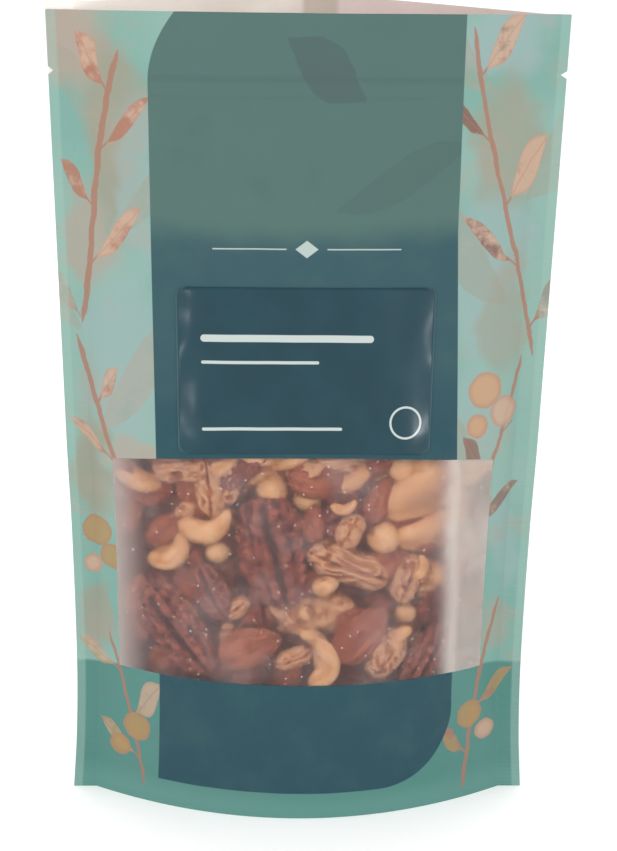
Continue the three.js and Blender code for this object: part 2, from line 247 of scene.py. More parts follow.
# Sprigs cross the film, with leaves by turns on either side; lengths in millimetres
sprigKeys = ("x", "lean", "sway", "length", "phase", "span", "spacing", "leaf", "slant", "colours",
             "strength", "stem")
sprigs = (
    (-66, 0.1, 4, 37, 0.4, (64, 262), 62, (36, 11.0), 1.3, ("sage", "taupe"), 0.5, 0.0),
    (66, -0.08, 4, 41, 3.4, (70, 262), 66, (34, 11.5), 1.2, ("taupe", "sage"), 0.5, 0.0),
    (-66, 0.22, 2.5, 23, 0.9, (160, 248), 36, (15, 5.4), 1.3, ("terracotta", "peach"), 0.85, 0.8),
    (-62, -0.24, 2.0, 19, 2.9, (66, 158), 34, (14, 4.6), 1.1, ("peach", "terracotta"), 0.8, 0.7),
    (63, -0.2, 2.5, 27, 2.2, (150, 256), 40, (16, 5.6), 1.2, ("rust", "peach"), 0.85, 0.55),
    (65, 0.16, 2.5, 21, 0.2, (84, 152), 32, (12, 4.6), 1.2, ("peach", "rust"), 0.75, 0.5),
    (-62, -0.2, 2, 22, 1.0, (4, 58), 29, (13, 4.8), 0.9, ("ochre", "peach"), 0.7, 0.4),
    (65, 0.2, 2, 26, 3.0, (2, 70), 31, (12, 4.4), 1.0, ("terracotta", "ochre"), 0.75, 0.55),
)
sprigs = [dict(zip(sprigKeys, values)) for values in sprigs]
panelSprig = (16, 0.3, 5, 33, 0.0, (196, 262), 66, (34, 8.0), 0.6, ("shade", "shade"), 0.38, 0.0)
panelSprig = dict(zip(sprigKeys, panelSprig))
# Washes of the ground: across, height, half width, half height, colour, strength
washes = (
    (-70, 250, 14, 18, "blush", 0.8), (-60, 222, 11, 38, "sage", 0.95), (-70, 188, 9, 16, "taupe", 0.7),
    (-54, 205, 7, 30, "mist", 0.7), (-60, 150, 16, 30, "mist", 0.75), (-72, 112, 8, 20, "sage", 0.9),
    (-58, 122, 9, 8, "blush", 0.6), (-73, 62, 8, 12, "sage", 0.8), (60, 250, 16, 12, "mist", 0.9),
    (63, 218, 12, 26, "sage", 0.8), (60, 180, 14, 30, "mist", 0.8), (66, 165, 9, 22, "sage", 0.6),
    (56, 135, 10, 16, "mist", 0.7), (72, 92, 8, 24, "mist", 0.7), (70, 60, 8, 10, "taupe", 0.5),
)
# Berries: across, height, radius and colour
berries = (
    (-71, 92, 5.6, "ochre"), (-66, 84, 4.6, "ochre"), (-73, 80, 3.6, "peach"), (-58, 26, 5.2, "ochre"),
    (-64, 18, 4.0, "ochre"), (60, 142, 6.0, "orange"), (67, 135, 5.0, "peach"), (58, 131, 4.0, "orange"),
    (61, 30, 5.0, "ochre"), (67, 23, 4.0, "peach"),
)


# Places of the print on the film, in millimetres: the ground's low band, hem, trim and seal, the dark
# upper panel with its curved shoulder and flared side, the low panel with its round corner, where the
# panel's inks change, where painted light brightens its upper part, the zip's lines of painted shade
# (low, high, softness, strength) and the plain divider
filmPrint = {
    "lowBand": (46.5, 48), "hem": (2.0, 12.0), "trim": 77.0, "seal": 72.0, "sealRibs": 4.4,
    "left": -49.5, "right": 48.0, "foot": 119.75, "backFoot": 9.0,
    "shoulder": 237.5, "shoulderTall": 21.5, "shoulderDeep": 8.5, "flareBelow": 193.0, "flare": 0.05,
    "lowLeft": -50.0, "lowFoot": 9.0, "lowTop": 46.5, "corner": (28.0, 35.0), "cornerRadius": 26.0,
    "middleInk": (122.0, 160.0), "paintedLightRise": (186.0, 197.5),
    "zipLines": ((238.2, 240.0, 0.7, 1.0), (233.2, 234.0, 0.5, 0.5)),
    "divider": 187.8, "ruleHalf": 0.2, "ruleSpan": (6.5, 30.0), "lozenge": 2.75,
}


def printedFilm(name, isFront):
    film = Finish(name, Specular_IOR_Level=0.25)
    film.layFlat(**filmSpan)
    pools = film.noise(film.flat, 0.061, 4.0, 0.6)
    drift = (film.noise(film.flat, 0.045, 2.5, 0.5) - 0.5) * 26
    grain = film.noise(film.flat, 0.9, 2.0, 0.6)
    ground, panel = printGround(film, pools, drift), printPanel(film, pools, drift)
    printed = film.blend(panelShape(film, isFront), ground, panel)
    if isFront:
        printed = film.blend(dividerShape(film) * 0.75, printed, printColours["rule"])
    seal = film.edge(abs(film.across), filmPrint["seal"], 0.4)
    ribs = film.wave(film.height * filmPrint["sealRibs"]) * seal
    film.set(film.shader, {"Base_Color": printed, "Roughness": 0.5 + 0.12 * grain,
                           "Normal": film.bump(grain * 0.15 + ribs * 0.12 + pools * 0.6, 0.00022)})
    return film.material


def printGround(film, pools, drift):
    c, across, height, flat = printColours, film.across, film.height, film.flat
    ground = film.blend(film.step(film.noise(flat, 0.02, 1.5, 0.4), 0.4, 0.6), c["aqua"], c["mint"])
    for x, h, wide, tall, colour, strength in washes:
        far = film.distance((across - x + drift) / wide, (height - h + drift) / tall)
        ground = film.blend((1 - film.step(far, 0.55, 1.15)) * strength, ground, c[colour])
    ground = film.blend(film.step(film.noise(flat, 0.06, 2.5, 0.5), 0.5, 0.72) * 0.35, ground, c["taupe"])
    ground = film.blend((1 - film.step(height + 3 * pools, *filmPrint["lowBand"])) * 0.85, ground, c["teal"])
    ground = film.blend((1 - film.step(height, *filmPrint["hem"])) * 0.7, ground, c["lowMint"])
    for sprig in sprigs:
        ground = drawSprig(film, ground, sprig)
    wobble = film.noise(flat, 0.25, 2.0, 0.5) * 1.6
    for x, h, radius, colour in berries:
        far = film.distance(across - x, height - h) + wobble
        tint = film.blend(film.step(far, radius - 1.6, radius + 0.5) * 0.5, c[colour], c["stem"])
        ground = film.blend((1 - film.edge(far, radius + 0.5, 0.2)) * 0.85, ground, tint)
    return film.blend(film.edge(abs(across), filmPrint["trim"], 0.4) * 0.4, ground, c["edgeMint"])


def panelShape(film, isFront):
    p, across, height = filmPrint, film.across, film.height
    shoulder = film.most(height - p["shoulder"], 0.0) / p["shoulderTall"]
    flare = film.most(p["flareBelow"] - height, 0.0) * p["flare"]
    left = p["left"] + shoulder * shoulder * p["shoulderDeep"]
    upper = film.inside(across, left, p["right"] + flare, 0.15)
    if not isFront:
        return upper * film.edge(height, p["backFoot"], 0.1)
    upper = upper * film.edge(height, p["foot"], 0.25)
    cornerAcross, cornerHeight = p["corner"]
    cornerFar = film.distance(film.most(across - cornerAcross, 0.0), film.most(cornerHeight - height, 0.0))
    lower = film.inside(height, p["lowFoot"], p["lowTop"], 0.15) * film.edge(across, p["lowLeft"], 0.2)
    return film.most(upper, lower * (1 - film.edge(cornerFar, p["cornerRadius"], 0.2)))


def printPanel(film, pools, drift):
    c, across, height = printColours, film.across, film.height
    colour = film.blend(film.step(height, *filmPrint["middleInk"]), c["panelLow"], c["panelMiddle"])
    # The panel's upper part is painted lighter, as if leaning back towards the light: painted light
    tilted = height - abs(across + 6) * 0.07 + 4 * pools
    colour = film.blend(film.step(tilted, *filmPrint["paintedLightRise"]), colour, c["litPanelTop"])
    colour = film.blend(film.step(pools, 0.42, 0.75) * 0.13, colour, c["moss"])
    colour = film.blend(film.step(drift, 1.0, 9.0) * 0.18, colour, c["shade"])
    colour = drawSprig(film, colour, panelSprig)
    # Darker lines along the zip: painted shade of its ridges
    for low, high, soft, strength in filmPrint["zipLines"]:
        colour = film.blend(film.inside(height, low, high, soft) * strength * 0.16, colour, c["shade"])
    return colour


# A plain divider in the upper panel: a lozenge between two thin rules
def dividerShape(film):
    above = abs(film.height - filmPrint["divider"])
    rules = film.inside(abs(film.across), *filmPrint["ruleSpan"], 0.15)
    rules = rules * (1 - film.edge(above, filmPrint["ruleHalf"], 0.1))
    lozenge = 1 - film.edge(abs(film.across) * 0.75 + above, filmPrint["lozenge"], 0.15)
    return film.most(rules, lozenge)


def drawSprig(film, ground, sprig):
    across, height, flat = film.across, film.height, film.flat
    leafLong, leafWide = sprig["leaf"]
    low, high = sprig["span"]
    first, second = (printColours[colour] for colour in sprig["colours"])
    stemColour = printColours["stem"]
    wobble = film.noise(flat, 0.16, 2.0, 0.5) - 0.5
    bend = film.wave(height / sprig["length"] + sprig["phase"]) * sprig["sway"]
    leaning = (height - (low + high) / 2) * sprig["lean"]
    off = across - sprig["x"] - leaning - bend + wobble * 1.6
    near = abs(off)
    side = film.node("Math", {"operation": "SIGN"}, off)
    along = (height - near * sprig["slant"]) / sprig["spacing"] + side * 0.25 + 0.25
    cell = film.node("Math", {"operation": "FLOOR"}, along)
    part = (along - cell - 0.5) * sprig["spacing"]
    draw = film.node("TexWhiteNoise", {"noise_dimensions": "2D"},
                     film.node("CombineXYZ", None, cell, side + sprig["x"], 0.0))
    size = 0.65 + 0.45 * draw
    body = film.wave(film.node("Clamp", None, (near - 1.6) / (leafLong * size), 0.0, 1.0) * math.pi) ** 1.35
    outline = abs(part + wobble * 1.6) - body * leafWide * size
    inRange = film.inside(height, low + 3, high - 3, 3.0)
    whole = film.inside((cell + 0.5 - side * 0.25 - 0.25) * sprig["spacing"], low + 2, high - 12, 0.1)
    leaf = (1 - film.step(outline, -0.25, 0.1)) * film.step(body, 0.02, 0.1) * whole
    tone = film.noise(flat, 0.13, 4.0, 0.65)
    colour = film.blend(film.step(tone + draw * 0.3, 0.5, 0.75), first, second)
    if sprig["stem"]:
        stem = 1 - film.step(near - sprig["stem"] * inRange, 0.0, 0.35)
        stalk = (1 - film.step(abs(part), 0.3, 0.6)) * (1 - film.step(near, 2.7, 3.3)) * whole
        stem = stem * film.step(inRange, 0.02, 0.1)
        ground = film.blend(film.most(stem, stalk) * 0.85, ground, stemColour)
        rim = film.step(outline, -1.4, -0.1) * 0.3
        vein = (1 - film.step(abs(part), 0.1, 0.5)) * 0.4
        colour = film.blend(film.most(rim, vein), colour, stemColour)
    return film.blend(leaf * film.step(draw, 0.08, 0.1) * sprig["strength"], ground, colour)


def linedInside():
    lining = Finish("filmLining", Specular_IOR_Level=0.3)
    lining.layFlat(**filmSpan)
    where = lining.objectPlace()
    cloud = lining.noise(where, 45.0, 3.0, 0.5)
    # Cream at the left, painted light on a lit facet, turning to the lining's pinker colour at the right
    colour = lining.blend(lining.step(lining.across + cloud * 6, -8.0, 16.0),
                          paint(246, 238, 230), paint(226, 208, 204))
    # A khaki band: the painted shade of a fold in the back film
    paintedFoldShade = lining.inside(lining.across, -1.0, 10.0, 1.2)
    colour = lining.blend(paintedFoldShade * 0.75, colour, paint(176, 164, 148))
    colour = lining.blend(lining.step(cloud, 0.4, 0.7) * 0.3, colour, paint(206, 190, 182))
    lining.set(lining.shader, {"Base_Color": colour, "Roughness": 0.36 + 0.14 * cloud,
                               "Normal": lining.bump(cloud, 0.0006)})
    return lining.material


frosting = {
    "glassRoughness": 0.3,
    "refraction": 1.3,
    "glassTint": (0.96, 0.91, 0.92, 1),
    "shadowTint": (0.9, 0.86, 0.84, 1),
    "haze": 0.03,           # shares of the milky surface
    "clouds": 0.11,
    "leftHaze": 0.42,
    "foldHighlightHaze": 0.48,
    "specks": 0.28,
    "speckDensity": 0.36,   # cells to a millimetre
    "leftFade": (-66.0, -48.0),
    "rightFade": (48.0, 56.0),
    "fold": 55.0,
    "foldLean": 0.03,
}


def frostedFinish():
    frost = Finish("frostedFilm", Roughness=0.5, Specular_IOR_Level=0.3)
    frost.layFlat(**filmSpan)
    across, height = frost.across, frost.height
    cloud = frost.noise(frost.flat, 0.05, 3.0, 0.55)
    crumbs = frost.node("TexVoronoi", {"voronoi_dimensions": "2D"}, frost.flat, None,
                        frosting["speckDensity"])
    draw = frost.part(Wire(frost, crumbs.socket.node.outputs["Color"]), 0)
    reach = 0.05 + 0.13 * draw * draw * draw
    specks = (1 - frost.step(crumbs, reach * 0.4, reach)) * frost.step(draw, 0.72, 1.0)
    leftSide = 1 - frost.step(across + cloud * 8, *frosting["leftFade"])
    # A bright band along the right fold: painted highlight, with the film's own milkiness where it stands
    # off the kernels
    fold = across - frosting["fold"] + (height - 45.0) * frosting["foldLean"] + cloud * 3
    rightFoldHighlight = frost.node("Math", {"operation": "EXPONENT"}, fold * fold * -0.06)
    rightSide = frost.step(across + cloud * 6, *frosting["rightFade"])
    rightHaze = frost.most(rightFoldHighlight * frosting["foldHighlightHaze"], rightSide * (0.2 + 0.26 * cloud))
    milk = frosting["haze"] + frosting["clouds"] * frost.step(cloud, 0.4, 0.75)
    milk = milk + leftSide * frosting["leftHaze"] + rightHaze + specks * frosting["specks"]
    milk = frost.node("Clamp", None, milk, 0.0, 0.9)
    tint = frost.blend(frost.most(leftSide, rightSide), paint(208, 188, 186), paint(222, 214, 206))
    frost.set(frost.shader, {"Base_Color": frost.blend(specks, tint, paint(238, 228, 216))})
    glass = frost.node("BsdfGlass", None, Color=frosting["glassTint"], Roughness=frosting["glassRoughness"],
                       IOR=frosting["refraction"])
    clear = frost.node("BsdfTransparent", None, Color=frosting["shadowTint"])
    shadow = frost.node("LightPath")  # shadow rays pass the film unbent
    film = frost.node("MixShader", None, milk)
    frost.tree.links.new(glass.socket, film.socket.node.inputs[1])
    frost.tree.links.new(frost.shader.outputs[0], film.socket.node.inputs[2])
    whole = frost.node("MixShader", None, Wire(frost, shadow.socket.node.outputs["Is Shadow Ray"]))
    frost.tree.links.new(film.socket, whole.socket.node.inputs[1])
    frost.tree.links.new(clear.socket, whole.socket.node.inputs[2])
    frost.tree.links.new(whole.socket, frost.output.inputs["Surface"])
    return frost.material


finishes = {"frontPrint": printedFilm("frontPrint", True), "backPrint": printedFilm("backPrint", False),
            "lining": linedInside()}
print("film finishes made")


# The filled pouch's form, as the frame has it: pairs of a height and a value, all in millimetres
pouchForm = {
    "halfWidth": ((0, 74.8), (20, 73.6), (45, 73.2), (90, 74.2), (126, 75.6), (197, 78), (259, 80)),
    "frontBow": ((0, 24), (30, 25), (60, 24), (90, 19.5), (120, 14), (160, 12), (198, 11), (230, 6),
                 (259, 2)),
    "backBow": ((0, 24), (30, 25), (60, 25), (90, 23), (126, 19), (165, 15), (200, 16), (235, 24),
                (261, 30)),
    "frontFlatness": ((0, 2), (46, 2.3), (90, 3.2), (120, 5), (160, 4.5), (198, 3.4), (259, 2)),
    "backFlatness": ((0, 2), (60, 2.2), (126, 2.4), (197, 2), (235, 1.4), (261, 1.15)),
    "sealStart": 72.0,
    "sealGap": 0.15,
    "notchHeight": 240.5,
    "notchHalf": 1.2,
    "notchDeep": 2,
    "windowHalf": 64.5,
    "windowLow": 45.5,
    "windowHigh": 120.5,
    "windowDroop": 2.5,
    "windowLift": 1.8,
    "gussetDepth": 39.0,
    "backSkew": 1.2,
    "filmThick": 0.25,
}


def alongHeight(keys, height):
    z, v = np.array(keys, float).T
    height = np.clip(np.asarray(height, float), z[0], z[-1])
    before, after = np.maximum(np.arange(len(z)) - 1, 0), np.minimum(np.arange(len(z)) + 1, len(z) - 1)
    slope = (v[after] - v[before]) / (z[after] - z[before])
    k = np.clip(np.searchsorted(z, height, side="right") - 1, 0, len(z) - 2)
    span = z[k + 1] - z[k]
    s = (height - z[k]) / span
    rise = (3 - 2 * s) * s * s
    return v[k] * (1 - rise) + v[k + 1] * rise + span * s * (1 - s) * (slope[k] * (1 - s) - slope[k + 1] * s)


def bowShape(across, flatness):
    return 1 - np.minimum(1, np.abs(across) / pouchForm["sealStart"]) ** flatness


def frontDepth(across, height):
    flatness = alongHeight(pouchForm["frontFlatness"], height)
    return alongHeight(pouchForm["frontBow"], height) * bowShape(across, flatness)


def backDepth(across, height):
    flatness = alongHeight(pouchForm["backFlatness"], height)
    return alongHeight(pouchForm["backBow"], height) * bowShape(across, flatness)


def smooth(value, low, high):
    s = np.clip((value - low) / (high - low), 0, 1)
    return s * s * (3 - 2 * s)


def filmX(across, height):
    notch = np.maximum(0, 1 - np.abs(height - pouchForm["notchHeight"]) / pouchForm["notchHalf"])
    inward = pouchForm["notchDeep"] * notch * smooth(np.abs(across), 76, 80)
    return across / 80 * alongHeight(pouchForm["halfWidth"], height) - np.sign(across) * inward


# Soft folds of the film: start and end on the film, width and height of the ridge
frontFolds = (
    ((-59, 118), (-60, 60), 3.2, 0.9), ((-64, 110), (-66, 70), 2.4, -0.7), ((57, 92), (60, 50), 2.6, 1.3),
    ((63, 116), (65, 62), 2.4, -0.8), ((50, 118), (55, 88), 2.5, 0.5), ((-70, 40), (-44, 27), 3.0, 0.9),
    ((-70, 41), (-50, 52), 2.6, -0.7), ((70, 40), (42, 25), 3.2, 1.0), ((70, 42), (50, 54), 2.4, -0.6),
    ((-56, 30), (-30, 14), 3.0, -0.5), ((55, 28), (32, 12), 3.2, -0.5), ((-52, 199), (52, 201), 2.6, 0.45),
    ((-66, 206), (-30, 194), 3.5, -0.4), ((66, 208), (34, 196), 3.5, -0.4),
    ((-60, 150), (-58, 190), 4.0, 0.5), ((61, 140), (59, 186), 4.0, 0.5),
    ((-78, 241.5), (78, 241.5), 0.8, 0.4), ((-78, 235), (78, 235), 1.0, 0.3),
    ((20, 225), (40, 205), 3.5, 0.35),
)
backFolds = (
    ((-66, 150), (-30, 130), 4.0, 0.8), ((66, 160), (28, 138), 4.0, 0.9), ((-70, 41), (-40, 30), 3.0, 0.9),
    ((70, 41), (42, 28), 3.0, 0.9), ((0, 175), (0, 258), 3.0, 0.5), ((-20, 180), (-60, 215), 4.0, -0.7),
    ((22, 182), (62, 214), 4.0, -0.7), ((-45, 100), (-62, 60), 4.0, -0.5), ((48, 96), (62, 58), 4.0, -0.5),
)


# Relief of a film on a grid with a place every millimetre
def foldRelief(folds, seed):
    across, height = np.meshgrid(np.arange(-80.0, 81.0), np.arange(0.0, 260.0), indexing="ij")
    relief = np.zeros(across.shape)
    for (a0, h0), (a1, h1), width, rise in folds:
        length = math.hypot(a1 - a0, h1 - h0)
        ua, uh = (a1 - a0) / length, (h1 - h0) / length
        run = (across - a0) * ua + (height - h0) * uh
        aside = (across - a0) * -uh + (height - h0) * ua + 1.5 * np.sin(run / 13 + a0)
        ends = smooth(run, -3, length * 0.3) * (1 - smooth(run, length * 0.7, length + 3))
        relief += rise * ends * np.exp(-(aside / width) ** 2)
    soft = [0.5 * noise.noise((a / 26, h / 34, seed)) + 0.22 * noise.noise((a / 9, h / 13, seed + 7))
            for a, h in zip(across.ravel(), height.ravel())]
    relief = np.maximum(relief + np.reshape(soft, across.shape), -0.55)
    return relief * (1 - smooth(np.abs(across), 69, 73)) * smooth(height, -2, 6)


def reliefAt(grid, across, height):
    a, h = np.clip(across + 80, 0, 159.999), np.clip(height, 0, 258.999)
    i, j = a.astype(int), h.astype(int)
    s, t = a - i, h - j
    low = grid[i, j] * (1 - s) + grid[i + 1, j] * s
    high = grid[i, j + 1] * (1 - s) + grid[i + 1, j + 1] * s
    return low * (1 - t) + high * t


frontRelief = foldRelief(frontFolds, 3.1)
backRelief = foldRelief(backFolds, 9.4)


def frontPlace(across, height, offset):
    fade = np.exp(-((height - pouchForm["windowHigh"]) / 18) ** 2)
    droop = pouchForm["windowDroop"] * np.minimum(1, np.abs(across) / pouchForm["windowHalf"]) ** 4 * fade
    lowFade = np.exp(-((height - pouchForm["windowLow"]) / 9) ** 2)
    lift = pouchForm["windowLift"] * (1 - np.minimum(1, np.abs(across) / 72) ** 4) * lowFade
    z = height - droop + lift
    y = -frontDepth(across, z) - pouchForm["sealGap"] - offset - reliefAt(frontRelief, across, height)
    return np.stack((filmX(across, height), y, z), 1) * mm


def backPlace(across, height, offset):
    stretch = 1 + pouchForm["backSkew"] * (1 - across / 80) / filmSpan["height"]
    z = np.where(height > 200, height + (height * stretch - height) * smooth(height, 200, 259), height)
    y = backDepth(across, z) + pouchForm["sealGap"] + offset + reliefAt(backRelief, across, height)
    return np.stack((filmX(across, height), y, z), 1) * mm


def deselect():
    bpy.ops.object.select_all(action="DESELECT")


def readPoints(piece):
    points = np.empty(len(piece.data.vertices) * 3)
    piece.data.vertices.foreach_get("co", points)
    return points.reshape(-1, 3)


def writePoints(piece, points):
    piece.data.vertices.foreach_set("co", np.ascontiguousarray(points).ravel())
    piece.data.update()


# A sheet over columns and rows given as places, or as counts for even ones from 0 to 1
def addSheet(name, columns, rows, place):
    columns, rows = (np.linspace(0, 1, n + 1) if isinstance(n, int) else n for n in (columns, rows))
    deselect()
    bpy.ops.mesh.primitive_grid_add(x_subdivisions=len(columns) - 1, y_subdivisions=len(rows) - 1, size=2)
    sheet = bpy.context.object
    sheet.name = sheet.data.name = name
    sheet.data.uv_layers[0].name = "UVMap"
    flat = readPoints(sheet)
    steps = ((flat[:, :2] + 1) / 2 * (len(columns) - 1, len(rows) - 1)).round().astype(int)
    writePoints(sheet, place(columns[steps[:, 0]], rows[steps[:, 1]]))
    return sheet


# Gives a film's sheet its print coordinates, from 0 to 1 over its width and height
def mapFilm(sheet, columns, rows):
    uv = sheet.data.uv_layers[0]
    loops = np.empty(len(sheet.data.loops) * 2)
    uv.data.foreach_get("uv", loops)
    steps = (loops.reshape(-1, 2) * (len(columns) - 1, len(rows) - 1)).round().astype(int)
    across, height = columns[steps[:, 0]], rows[steps[:, 1]]
    places = np.stack(((across + 80) / filmSpan["width"], height / filmSpan["height"]), 1)
    uv.data.foreach_set("uv", places.ravel())
    return np.stack((across, height), 1)


# A film's places every millimetre, with the nearest ones moved to the targets
def gridLine(start, end, *targets):
    values = np.linspace(start, end, round(abs(end - start)) + 1)
    for target in targets:
        values[np.argmin(np.abs(values - target))] = target
    return values


def removeFaces(piece, gone):
    bpy.context.view_layer.objects.active = piece
    bpy.ops.object.mode_set(mode="EDIT")
    bpy.ops.mesh.select_mode(type="FACE")
    bpy.ops.mesh.select_all(action="DESELECT")
    bpy.ops.object.mode_set(mode="OBJECT")
    piece.data.polygons.foreach_set("select", gone)
    bpy.ops.object.mode_set(mode="EDIT")
    bpy.ops.mesh.delete(type="FACE")
    bpy.ops.object.mode_set(mode="OBJECT")


def thicken(piece, thickness, outside=None, inside=None):
    for material in (outside, inside):
        if material:
            piece.data.materials.append(material)
    bpy.context.view_layer.objects.active = piece
    solidify = piece.modifiers.new("thickness", "SOLIDIFY")
    solidify.thickness = thickness * mm
    solidify.offset = -1
    solidify.material_offset = 1 if inside else 0
    bpy.ops.object.modifier_apply(modifier=solidify.name)


def dress(piece, materials, replaced=(), angle=40):
    for material in materials:
        piece.data.materials.append(material)
    deselect()
    piece.select_set(True)
    bpy.context.view_layer.objects.active = piece
    bpy.ops.object.shade_smooth_by_angle(angle=math.radians(angle))
    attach(piece, "root")
    if replaced:
        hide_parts(*replaced)


notchRows = [pouchForm["notchHeight"] + k * pouchForm["notchHalf"] for k in (-1, 0, 1)]


def frontFilm():
    w = pouchForm
    columns = gridLine(-80, 80, -w["windowHalf"], w["windowHalf"])
    rows = gridLine(0, 259, w["windowLow"], w["windowHigh"], *notchRows)
    film = addSheet("front_film", columns, rows, lambda a, h: frontPlace(a, h, w["filmThick"]))
    places = mapFilm(film, columns, rows)
    spots = np.array([places[list(face.loop_indices)].mean(0) for face in film.data.polygons])
    inWindow = ((np.abs(spots[:, 0]) < w["windowHalf"]) & (spots[:, 1] > w["windowLow"])
                & (spots[:, 1] < w["windowHigh"]))
    window = film.copy()
    window.data = film.data.copy()
    window.name = window.data.name = "window_film"
    scene.collection.objects.link(window)
    removeFaces(film, inWindow)
    thicken(film, w["filmThick"], finishes["frontPrint"], finishes["lining"])
    dress(film, (), ("front_panel",))
    removeFaces(window, ~inWindow)
    thicken(window, w["filmThick"], frostedFinish())
    dress(window, (), ("window",))


def backFilm():
    columns, rows = gridLine(80, -80), gridLine(0, 259, *notchRows)
    film = addSheet("back_film", columns, rows, lambda a, h: backPlace(a, h, pouchForm["filmThick"]))
    mapFilm(film, columns, rows)
    thicken(film, pouchForm["filmThick"], finishes["backPrint"], finishes["lining"])
    dress(film, (), ("back_panel",))


frontFilm()
backFilm()
print("films made")


label = {
    "halfWidth": 42.0, "bottom": 122.2, "top": 175.6, "corner": 3.0, "thick": 0.3,
    "bars": ((-33, 21, 37.2, 1.15), (-33.5, 4, 29.5, 0.5), (-33.5, 12, 8.0, 0.5)),
    "ring": (33.5, 10.2, 5.0),
}


def stickerFinish():
    gloss = Finish("stickerGloss", Specular_IOR_Level=0.22, Coat_Weight=0.18, Coat_Roughness=0.13)
    gloss.layFlat(2 * label["halfWidth"], label["top"] - label["bottom"])
    across, height = gloss.across, gloss.height
    cloud = gloss.noise(gloss.flat, 0.06, 3.0, 0.5)
    colour = gloss.blend(gloss.step(cloud, 0.3, 0.7), paint(9, 54, 66), paint(15, 60, 71))
    # A lighter rim along the sticker's sides: painted highlight
    edge = gloss.step(abs(across), label["halfWidth"] - 0.8, label["halfWidth"])
    colour = gloss.blend(edge * 0.25, colour, paint(120, 150, 150))
    marks = 0.0
    for x0, x1, z, radius in label["bars"]:
        beyond = gloss.most(gloss.most(x0 - across, across - x1), 0.0)
        bar = 1 - gloss.edge(gloss.distance(beyond, height - z), radius, 0.12)
        marks = gloss.most(marks, bar)
    ringX, ringZ, ringRadius = label["ring"]
    ring = 1 - gloss.step(abs(gloss.distance(across - ringX, height - ringZ) - ringRadius), 0.25, 0.45)
    colour = gloss.blend(gloss.most(marks, ring) * 0.8, colour, paint(206, 216, 212))
    gloss.set(gloss.shader, {"Base_Color": colour, "Roughness": 0.28 + 0.1 * cloud})
    return gloss.material


def stickerLabel():
    s = label

    def place(u, v):
        height = s["bottom"] + v * (s["top"] - s["bottom"])
        inward = np.maximum(0, s["corner"] - np.minimum(height - s["bottom"], s["top"] - height))
        half = s["halfWidth"] - s["corner"] + np.sqrt(s["corner"] ** 2 - inward ** 2)
        return frontPlace((u * 2 - 1) * half, height, pouchForm["filmThick"] + 0.05 + s["thick"])

    sticker = addSheet("sticker", 84, 52, place)
    thicken(sticker, s["thick"])
    bevel = sticker.modifiers.new("softEdge", "BEVEL")
    bevel.width, bevel.segments, bevel.angle_limit = 0.08 * mm, 2, math.radians(60)
    bpy.ops.object.modifier_apply(modifier=bevel.name)
    dress(sticker, (stickerFinish(),), ("label",))
    glossyPieces.objects.link(sticker)


def gussetFold(across):
    share = np.abs(across) / pouchForm["sealStart"]
    return pouchForm["gussetDepth"] * np.maximum(0, (share - 0.25) / 0.75) ** 1.8


gusset = {"reach": 70.5, "seam": 0.5, "ripple": 0.3}


def gussetFilm():
    def place(u, v):
        across = (u * 2 - 1) * gusset["reach"]
        share = np.abs(across) / pouchForm["sealStart"]
        fold = gussetFold(across)
        sealedTo = 0.8 * fold * share
        z = sealedTo + (fold - sealedTo) * np.sin(np.pi * v) + pouchForm["filmThick"]
        front = gusset["seam"] - frontDepth(across, z)
        back = backDepth(across, z) - gusset["seam"]
        sag = gusset["ripple"] * np.sin(across / 5 + 3 * v) * np.sin(np.pi * v) * smooth(share, 0.2, 0.5)
        y = front + (back - front) * v
        return np.stack((filmX(across, z), y, z + np.abs(sag)), 1) * mm

    film = addSheet("gusset_film", 141, 44, place)
    thicken(film, pouchForm["filmThick"])
    tint = Finish("gussetPrint")
    where = tint.objectPlace()
    cloud = tint.noise(where, 40.0, 3.0, 0.55)
    colour = tint.blend(tint.step(cloud, 0.35, 0.65), paint(98, 144, 138), paint(122, 160, 150))
    tint.set(tint.shader, {"Base_Color": colour, "Roughness": 0.52 + 0.15 * cloud,
                           "Normal": tint.bump(cloud, 0.0004)})
    dress(film, (tint.material,), ("bottom_gusset",))


zipStrip = {
    "low": 233.0,
    "high": 241.7,
    "halfWidth": 64.5,
    "thick": 0.2,
    # shares of the strip's height and depths behind the film
    "profile": ((0.0, 0.25), (0.12, 0.6), (0.3, 0.6), (0.34, 1.3), (0.4, 1.5), (0.46, 1.3), (0.5, 0.6),
                (0.6, 0.6), (0.64, 1.0), (0.7, 1.0), (0.74, 0.6), (0.92, 0.6), (1.0, 0.25)),
}


def zipHalf(name, node, placeOnFilm, isFront):
    shares, depths = np.array(zipStrip["profile"]).T
    if not isFront:
        shares, depths = 1 - shares[::-1], depths[::-1]
    even = np.linspace(0, 1, len(shares))

    def place(u, v):
        across = (u * 2 - 1) * zipStrip["halfWidth"]
        height = zipStrip["low"] + np.interp(v, even, shares) * (zipStrip["high"] - zipStrip["low"])
        return placeOnFilm(across if isFront else -across, height, -np.interp(v, even, depths))

    strip = addSheet(name, 142, 36, place)
    bpy.ops.object.mode_set(mode="EDIT")
    bpy.ops.mesh.select_all(action="SELECT")
    bpy.ops.mesh.flip_normals()
    bpy.ops.object.mode_set(mode="OBJECT")
    thicken(strip, zipStrip["thick"])
    plastic = Finish(name + "Plastic")
    where = plastic.objectPlace()
    cloud = plastic.noise(where, 60.0, 2.0, 0.5)
    colour = plastic.blend(cloud, paint(226, 214, 208), paint(208, 194, 190))
    plastic.set(plastic.shader, {"Base_Color": colour, "Roughness": 0.25 + 0.15 * cloud})
    dress(strip, (plastic.material,), (node,))


stickerLabel()
gussetFilm()
zipHalf("zip_strip_front", "zipper_front", frontPlace, True)
zipHalf("zip_strip_back", "zipper_back", backPlace, False)
print("sticker, gusset and zip made")


